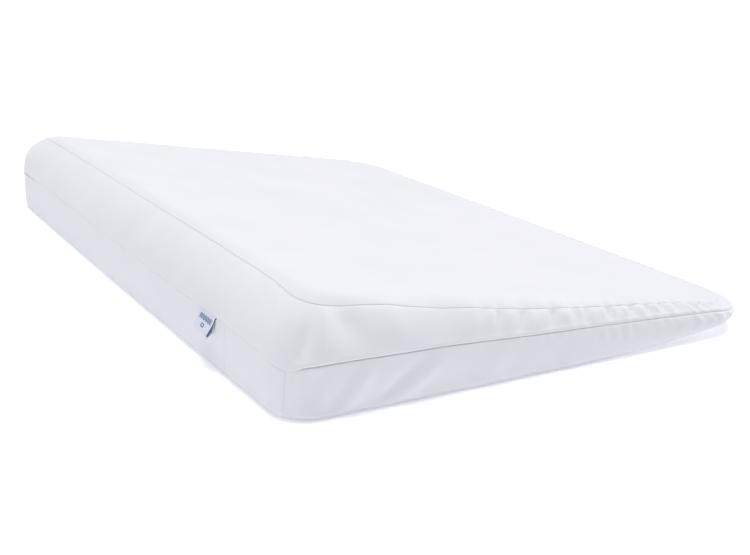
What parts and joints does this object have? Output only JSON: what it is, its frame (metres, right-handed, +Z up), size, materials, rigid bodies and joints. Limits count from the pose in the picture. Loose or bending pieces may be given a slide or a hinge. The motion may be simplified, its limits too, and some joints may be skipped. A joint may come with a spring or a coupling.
{
  "type": "memory foam wedge mattress",
  "caption": "Memory foam wedge in a zip-off white cover, sloping from a tall end to a thin end, with a folded ribbon label on the tall wall.",
  "frame": {"origin": "bottom centre of the wedge, on the surface it rests on", "axes": "+X down the slope towards the thin end, +Y across the width towards the side with the parked zip slider, +Z up"},
  "size_m": [0.4969, 0.7036, 0.0858],
  "materials": {
    "cover_fabric": "matte, fine brushed weave, white with a faint cool tint",
    "support_foam": "matte, open-cell foam, off-white",
    "memory_foam": "matte, fine-cell memory foam, pale cream",
    "liner_jersey": "matte, thin knitted jersey",
    "zip_tape": "matte, ribbed woven tape",
    "zip_coil": "satin nylon coil",
    "zip_stop": "satin",
    "zip_slider_metal": "white painted die-cast zinc",
    "label_ribbon": "satin woven ribbon with plain bands"
  },
  "bodies": {
    "wedge": {"cover_top_panel": "cover_fabric", "cover_upper_border": "cover_fabric", "cover_lower_border": "cover_fabric", "cover_lower_border_insert": "cover_fabric", "cover_bottom_panel": "cover_fabric", "foam_base": "support_foam", "memory_foam_layer": "memory_foam", "inner_liner": "liner_jersey", "zip_tape_upper": "zip_tape", "zip_tape_lower": "zip_tape", "zip_coil_upper": "zip_coil", "zip_coil_lower": "zip_coil", "zip_top_stops": "zip_stop", "zip_bottom_stop": "zip_stop", "side_label": "label_ribbon"},
    "slider": {"zip_slider": "zip_slider_metal"},
    "pull": {"zip_pull": "zip_slider_metal"}
  },
  "joints": [
    {"name": "zip_slide", "type": "slide", "parent": "wedge", "child": "slider", "axis": [0.9988, 0, -0.0499], "range_m": [0, 0.297]},
    {"name": "pull_pivot", "type": "hinge", "parent": "slider", "child": "pull", "pos_m": [-0.2025, 0.35195, 0.04088], "axis": [0.0499, 0, 0.9988], "range_deg": [0, 170]}
  ]
}
